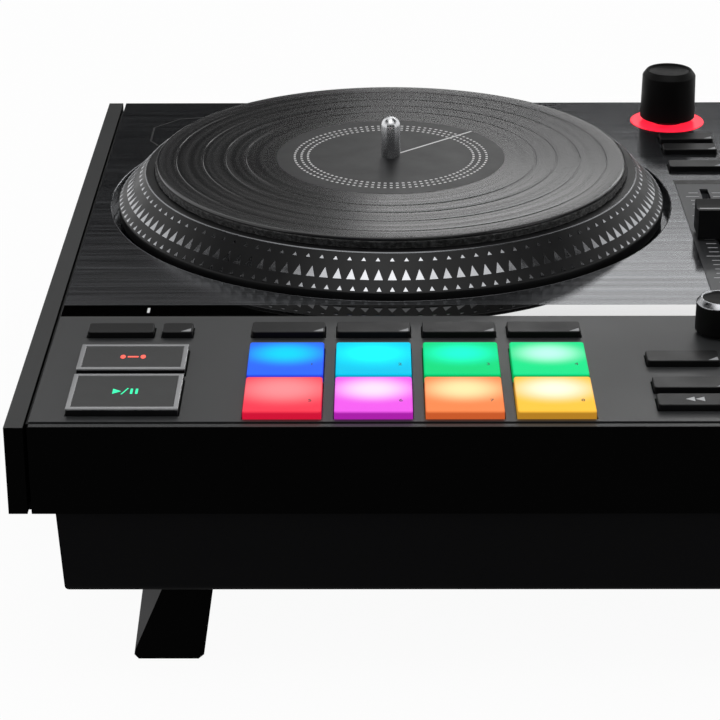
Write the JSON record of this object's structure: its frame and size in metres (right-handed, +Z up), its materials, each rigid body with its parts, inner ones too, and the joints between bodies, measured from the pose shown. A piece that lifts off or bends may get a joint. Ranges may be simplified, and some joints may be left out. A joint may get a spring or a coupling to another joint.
{
  "type": "dj controller",
  "caption": "Two-deck controller with motorised platters, records on slipmats, lit pads, keys, faders, knobs and fold-away legs.",
  "frame": {"origin": "middle of the footprint, on the surface that the legs stand on", "axes": "+X to the player's right, +Y away from the player, +Z up"},
  "size_m": [0.636, 0.323, 0.123],
  "materials": {
    "tray_abs": "fine moulded texture",
    "plate_aluminium": "brushed, black anodised",
    "pad_plate_coat": "satin",
    "gloss_black": "gloss",
    "cheek_plastic": "satin",
    "panel_plastic": "satin",
    "fader_insert": "satin",
    "light_lens": "diffuse lens, lit",
    "motor_steel": "zinc plated",
    "board": "solder mask",
    "pot_case": "plated",
    "switch_case": "moulded",
    "socket_plastic": "moulded",
    "screw_steel": "plated",
    "foot_rubber": "matte",
    "platter_metal": "satin, dark anodised",
    "slipmat_felt": "felt",
    "record_vinyl": "grooved vinyl",
    "spindle_chrome": "polished",
    "fader_cap": "satin",
    "knob_plastic": "satin with silver top ring",
    "leg_plastic": "moulded",
    "key_plastic": "moulded",
    "clear_key": "clear cap over a dark core",
    "pad_1_silicone": "translucent silicone, lit",
    "pad_2_silicone": "translucent silicone, lit",
    "pad_3_silicone": "translucent silicone, lit",
    "pad_4_silicone": "translucent silicone, lit",
    "pad_5_silicone": "translucent silicone, lit",
    "pad_6_silicone": "translucent silicone, lit",
    "pad_7_silicone": "translucent silicone, lit",
    "pad_8_silicone": "translucent silicone, lit"
  },
  "bodies": {
    "case": {"base_tray": "tray_abs", "deck_plate": "plate_aluminium", "pad_plate": "pad_plate_coat", "guide_strip": "gloss_black", "side_cheeks": "cheek_plastic", "front_panel": "panel_plastic", "rear_panel": "panel_plastic", "fader_plates": "fader_insert", "light_lenses": "light_lens", "platter_motors": "motor_steel", "circuit_boards": "board", "potentiometers": "pot_case", "key_switches": "switch_case", "sockets": "socket_plastic", "case_screws": "screw_steel", "tray_feet": "foot_rubber"},
    "platter_left": {"platter_left": "platter_metal", "spindle_left": "spindle_chrome"},
    "record_left": {"slipmat_left": "slipmat_felt", "record_left": "record_vinyl"},
    "platter_right": {"platter_right": "platter_metal", "spindle_right": "spindle_chrome"},
    "record_right": {"slipmat_right": "slipmat_felt", "record_right": "record_vinyl"},
    "tempo_fader_left": {"tempo_fader_left": "fader_cap"},
    "tempo_fader_right": {"tempo_fader_right": "fader_cap"},
    "channel_fader_1": {"channel_fader_1": "fader_cap"},
    "channel_fader_2": {"channel_fader_2": "fader_cap"},
    "crossfader": {"crossfader": "fader_cap"},
    "browse_knob_left": {"browse_knob_left": "knob_plastic"},
    "loop_knob_left": {"loop_knob_left": "knob_plastic"},
    "browse_knob_right": {"browse_knob_right": "knob_plastic"},
    "loop_knob_right": {"loop_knob_right": "knob_plastic"},
    "leg_front_left": {"leg_front_left": "leg_plastic"},
    "leg_front_right": {"leg_front_right": "leg_plastic"},
    "leg_back_left": {"leg_back_left": "leg_plastic"},
    "leg_back_right": {"leg_back_right": "leg_plastic"},
    "pad_1": {"pad_1": "pad_1_silicone"},
    "pad_2": {"pad_2": "pad_2_silicone"},
    "pad_3": {"pad_3": "pad_3_silicone"},
    "pad_4": {"pad_4": "pad_4_silicone"},
    "pad_5": {"pad_5": "pad_5_silicone"},
    "pad_6": {"pad_6": "pad_6_silicone"},
    "pad_7": {"pad_7": "pad_7_silicone"},
    "pad_8": {"pad_8": "pad_8_silicone"},
    "play_key_left": {"play_key_left": "clear_key"},
    "cue_key_left": {"cue_key_left": "clear_key"},
    "row_keys_left": {"row_keys_left": "key_plastic"},
    "side_keys_left": {"side_keys_left": "key_plastic"},
    "browse_keys_left": {"browse_keys_left": "key_plastic"},
    "pad_mat_right": {"pad_mat_right": "pad_2_silicone"},
    "transport_keys_right": {"transport_keys_right": "clear_key"},
    "small_keys_right": {"small_keys_right": "key_plastic"},
    "mixer_keys": {"mixer_keys": "key_plastic"},
    "high_knob_1": {"high_knob_1": "knob_plastic"},
    "mid_knob_1": {"mid_knob_1": "knob_plastic"},
    "low_knob_1": {"low_knob_1": "knob_plastic"},
    "high_knob_2": {"high_knob_2": "knob_plastic"},
    "mid_knob_2": {"mid_knob_2": "knob_plastic"},
    "low_knob_2": {"low_knob_2": "knob_plastic"}
  },
  "joints": [
    {"name": "platter_spin_left", "type": "hinge", "parent": "case", "child": "platter_left", "pos_m": [-0.2003, 0.0442, 0.0915], "axis": [0, 0, -1], "continuous": true},
    {"name": "record_slip_left", "type": "hinge", "parent": "platter_left", "child": "record_left", "pos_m": [-0.2003, 0.0442, 0.1063], "axis": [0, 0, -1], "continuous": true},
    {"name": "platter_spin_right", "type": "hinge", "parent": "case", "child": "platter_right", "pos_m": [0.1737, 0.0442, 0.0915], "axis": [0, 0, -1], "continuous": true},
    {"name": "record_slip_right", "type": "hinge", "parent": "platter_right", "child": "record_right", "pos_m": [0.1737, 0.0442, 0.1063], "axis": [0, 0, -1], "continuous": true},
    {"name": "tempo_slide_left", "type": "slide", "parent": "case", "child": "tempo_fader_left", "axis": [0, 1, 0], "range_m": [-0.048, 0.048]},
    {"name": "tempo_slide_right", "type": "slide", "parent": "case", "child": "tempo_fader_right", "axis": [0, 1, 0], "range_m": [-0.048, 0.048]},
    {"name": "channel_slide_1", "type": "slide", "parent": "case", "child": "channel_fader_1", "axis": [0, 1, 0], "range_m": [-0.0225, 0.0225]},
    {"name": "channel_slide_2", "type": "slide", "parent": "case", "child": "channel_fader_2", "axis": [0, 1, 0], "range_m": [-0.0225, 0.0225]},
    {"name": "crossfader_slide", "type": "slide", "parent": "case", "child": "crossfader", "axis": [1, 0, 0], "range_m": [-0.0225, 0.0225]},
    {"name": "browse_turn_left", "type": "hinge", "parent": "case", "child": "browse_knob_left", "pos_m": [-0.0862, 0.136, 0.0936], "axis": [0, 0, -1], "continuous": true},
    {"name": "loop_turn_left", "type": "hinge", "parent": "case", "child": "loop_knob_left", "pos_m": [-0.0938, -0.0882, 0.0925], "axis": [0, 0, -1], "continuous": true},
    {"name": "browse_turn_right", "type": "hinge", "parent": "case", "child": "browse_knob_right", "pos_m": [0.2878, 0.136, 0.0936], "axis": [0, 0, -1], "continuous": true},
    {"name": "loop_turn_right", "type": "hinge", "parent": "case", "child": "loop_knob_right", "pos_m": [0.2802, -0.0882, 0.0925], "axis": [0, 0, -1], "continuous": true},
    {"name": "leg_fold_front_left", "type": "hinge", "parent": "case", "child": "leg_front_left", "pos_m": [-0.26715, -0.137, 0.039], "axis": [1, 0, 0], "range_deg": [0, 90]},
    {"name": "leg_fold_front_right", "type": "hinge", "parent": "case", "child": "leg_front_right", "pos_m": [0.26715, -0.137, 0.039], "axis": [1, 0, 0], "range_deg": [0, 90]},
    {"name": "leg_fold_back_left", "type": "hinge", "parent": "case", "child": "leg_back_left", "pos_m": [-0.26715, 0.137, 0.039], "axis": [-1, 0, 0], "range_deg": [0, 90]},
    {"name": "leg_fold_back_right", "type": "hinge", "parent": "case", "child": "leg_back_right", "pos_m": [0.26715, 0.137, 0.039], "axis": [-1, 0, 0], "range_deg": [0, 90]},
    {"name": "pad_1_press", "type": "slide", "parent": "case", "child": "pad_1", "axis": [0, 0, -1], "range_m": [0, 0.0012], "stiffness_N_per_m": 600, "springref_m": -0.0008},
    {"name": "pad_2_press", "type": "slide", "parent": "case", "child": "pad_2", "axis": [0, 0, -1], "range_m": [0, 0.0012], "stiffness_N_per_m": 600, "springref_m": -0.0008},
    {"name": "pad_3_press", "type": "slide", "parent": "case", "child": "pad_3", "axis": [0, 0, -1], "range_m": [0, 0.0012], "stiffness_N_per_m": 600, "springref_m": -0.0008},
    {"name": "pad_4_press", "type": "slide", "parent": "case", "child": "pad_4", "axis": [0, 0, -1], "range_m": [0, 0.0012], "stiffness_N_per_m": 600, "springref_m": -0.0008},
    {"name": "pad_5_press", "type": "slide", "parent": "case", "child": "pad_5", "axis": [0, 0, -1], "range_m": [0, 0.0012], "stiffness_N_per_m": 600, "springref_m": -0.0008},
    {"name": "pad_6_press", "type": "slide", "parent": "case", "child": "pad_6", "axis": [0, 0, -1], "range_m": [0, 0.0012], "stiffness_N_per_m": 600, "springref_m": -0.0008},
    {"name": "pad_7_press", "type": "slide", "parent": "case", "child": "pad_7", "axis": [0, 0, -1], "range_m": [0, 0.0012], "stiffness_N_per_m": 600, "springref_m": -0.0008},
    {"name": "pad_8_press", "type": "slide", "parent": "case", "child": "pad_8", "axis": [0, 0, -1], "range_m": [0, 0.0012], "stiffness_N_per_m": 600, "springref_m": -0.0008},
    {"name": "play_key_left_press", "type": "slide", "parent": "case", "child": "play_key_left", "axis": [0, 0, -1], "range_m": [0, 0.0012], "stiffness_N_per_m": 600, "springref_m": -0.0008},
    {"name": "cue_key_left_press", "type": "slide", "parent": "case", "child": "cue_key_left", "axis": [0, 0, -1], "range_m": [0, 0.0012], "stiffness_N_per_m": 600, "springref_m": -0.0008},
    {"name": "row_keys_left_press", "type": "slide", "parent": "case", "child": "row_keys_left", "axis": [0, 0, -1], "range_m": [0, 0.0012], "stiffness_N_per_m": 600, "springref_m": -0.0008},
    {"name": "side_keys_left_press", "type": "slide", "parent": "case", "child": "side_keys_left", "axis": [0, 0, -1], "range_m": [0, 0.0012], "stiffness_N_per_m": 600, "springref_m": -0.0008},
    {"name": "browse_keys_left_press", "type": "slide", "parent": "case", "child": "browse_keys_left", "axis": [0, 0, -1], "range_m": [0, 0.0012], "stiffness_N_per_m": 600, "springref_m": -0.0008},
    {"name": "pad_mat_right_press", "type": "slide", "parent": "case", "child": "pad_mat_right", "axis": [0, 0, -1], "range_m": [0, 0.0012], "stiffness_N_per_m": 600, "springref_m": -0.0008},
    {"name": "transport_keys_right_press", "type": "slide", "parent": "case", "child": "transport_keys_right", "axis": [0, 0, -1], "range_m": [0, 0.0012], "stiffness_N_per_m": 600, "springref_m": -0.0008},
    {"name": "small_keys_right_press", "type": "slide", "parent": "case", "child": "small_keys_right", "axis": [0, 0, -1], "range_m": [0, 0.0012], "stiffness_N_per_m": 600, "springref_m": -0.0008},
    {"name": "mixer_keys_press", "type": "slide", "parent": "case", "child": "mixer_keys", "axis": [0, 0, -1], "range_m": [0, 0.0012], "stiffness_N_per_m": 600, "springref_m": -0.0008},
    {"name": "high_turn_1", "type": "hinge", "parent": "case", "child": "high_knob_1", "pos_m": [-0.03, 0.1005, 0.0925], "axis": [0, 0, -1], "range_deg": [-150, 150]},
    {"name": "mid_turn_1", "type": "hinge", "parent": "case", "child": "mid_knob_1", "pos_m": [-0.03, 0.0645, 0.0925], "axis": [0, 0, -1], "range_deg": [-150, 150]},
    {"name": "low_turn_1", "type": "hinge", "parent": "case", "child": "low_knob_1", "pos_m": [-0.03, 0.0285, 0.0925], "axis": [0, 0, -1], "range_deg": [-150, 150]},
    {"name": "high_turn_2", "type": "hinge", "parent": "case", "child": "high_knob_2", "pos_m": [0.03, 0.1005, 0.0925], "axis": [0, 0, -1], "range_deg": [-150, 150]},
    {"name": "mid_turn_2", "type": "hinge", "parent": "case", "child": "mid_knob_2", "pos_m": [0.03, 0.0645, 0.0925], "axis": [0, 0, -1], "range_deg": [-150, 150]},
    {"name": "low_turn_2", "type": "hinge", "parent": "case", "child": "low_knob_2", "pos_m": [0.03, 0.0285, 0.0925], "axis": [0, 0, -1], "range_deg": [-150, 150]}
  ]
}
